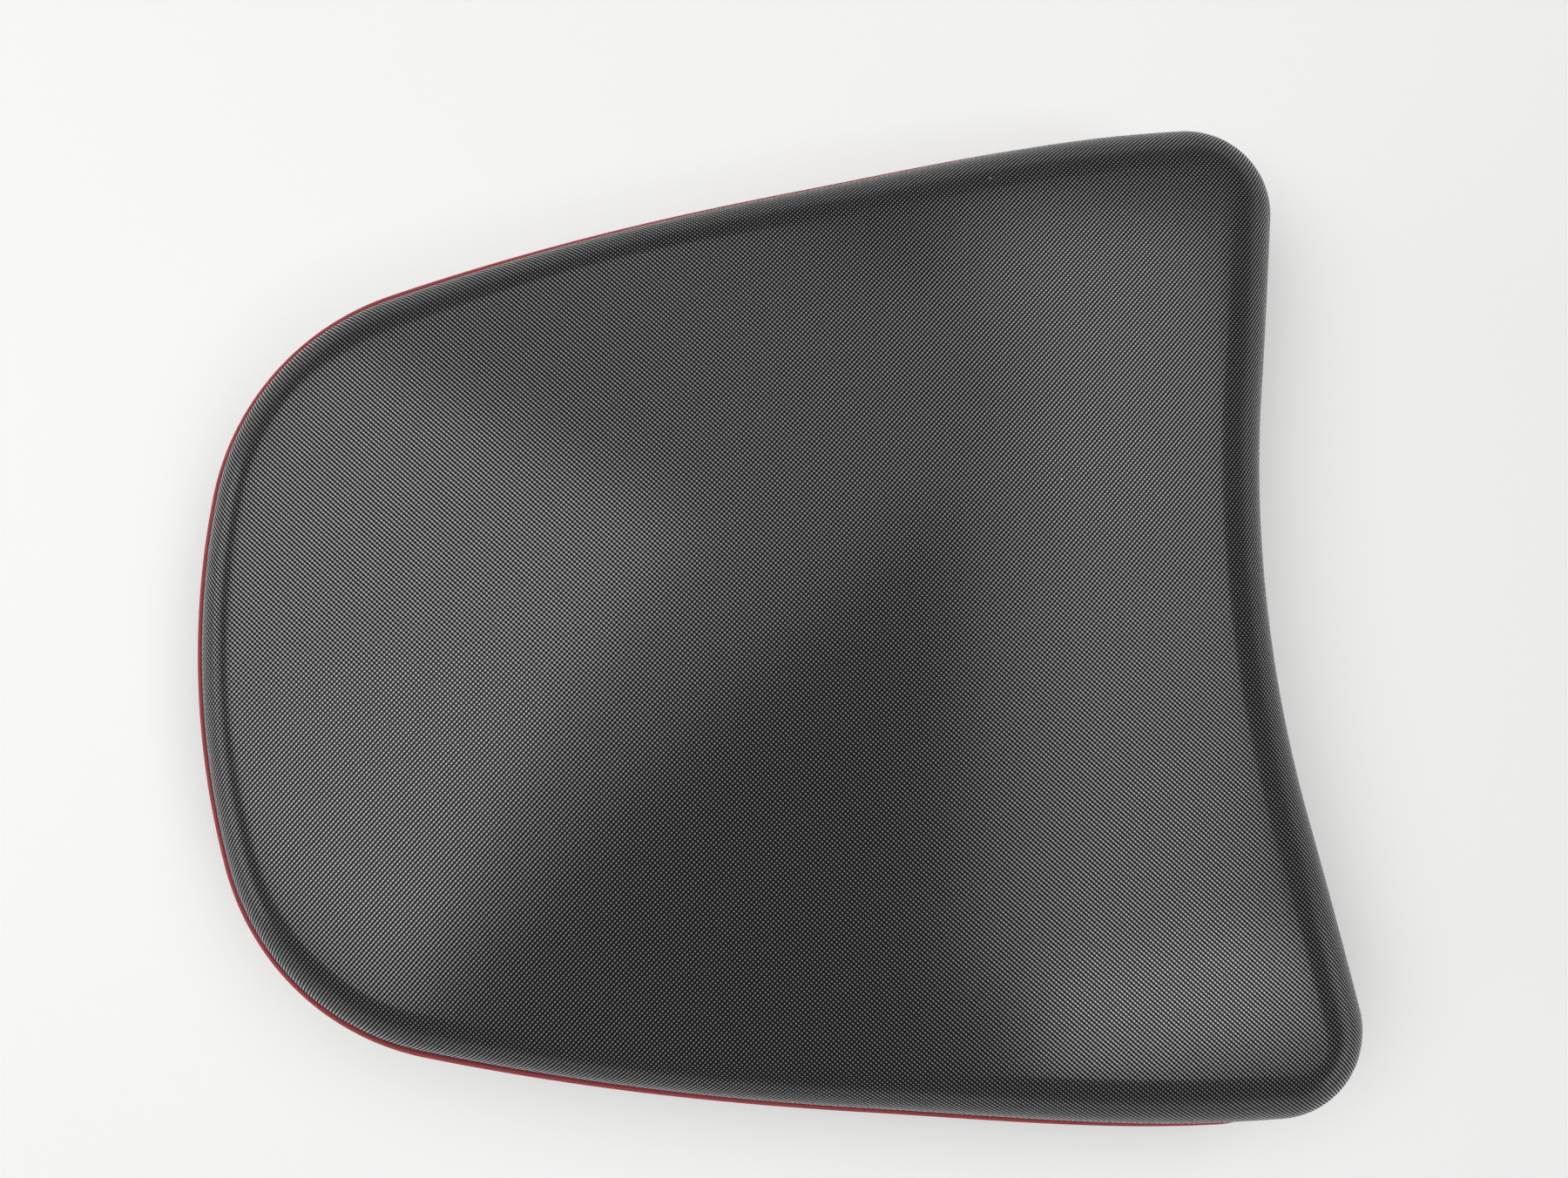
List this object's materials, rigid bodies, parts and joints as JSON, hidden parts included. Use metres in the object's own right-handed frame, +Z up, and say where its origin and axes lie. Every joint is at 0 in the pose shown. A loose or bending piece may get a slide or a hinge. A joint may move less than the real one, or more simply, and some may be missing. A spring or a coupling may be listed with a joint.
{
  "type": "motorcycle passenger seat pad",
  "caption": "Rounded saddle pad with a hollow front edge: foam cushion on a ribbed moulded pan, woven-look cover with a red welt, rubber feet, latch loop and hook.",
  "frame": {"origin": "on the ground under the middle of the pad's length and width, where the rubber feet stand", "axes": "+X towards the hollow front edge, +Y to the left side, +Z up"},
  "size_m": [0.33, 0.302, 0.068],
  "materials": {
    "cover_vinyl": "fine embossed weave, satin",
    "band_vinyl": "fine embossed weave, satin",
    "red_piping": "woven, satin",
    "cord_fibre": "matt",
    "foam": "matt, open cells",
    "pan_plastic": "fine moulded texture",
    "foot_rubber": "matt",
    "plated_steel": "zinc plated",
    "screw_steel": "zinc plated",
    "insert_brass": "turned",
    "staple_steel": "galvanised wire"
  },
  "bodies": {
    "root": {"cover_top_panel": "cover_vinyl", "cover_side_band": "band_vinyl", "seam_piping": "red_piping", "piping_cord": "cord_fibre", "foam_cushion": "foam", "base_pan": "pan_plastic", "foot_front_left": "foot_rubber", "foot_front_right": "foot_rubber", "foot_middle_left": "foot_rubber", "foot_middle_right": "foot_rubber", "foot_tail_left": "foot_rubber", "foot_tail_right": "foot_rubber", "latch_striker": "plated_steel", "striker_plate": "plated_steel", "striker_screws": "screw_steel", "striker_inserts": "insert_brass", "tail_tongue": "plated_steel", "tongue_screws": "screw_steel", "tongue_inserts": "insert_brass", "staples_left": "staple_steel", "staples_right": "staple_steel", "staples_front": "staple_steel", "staples_tail": "staple_steel"}
  },
  "joints": []
}
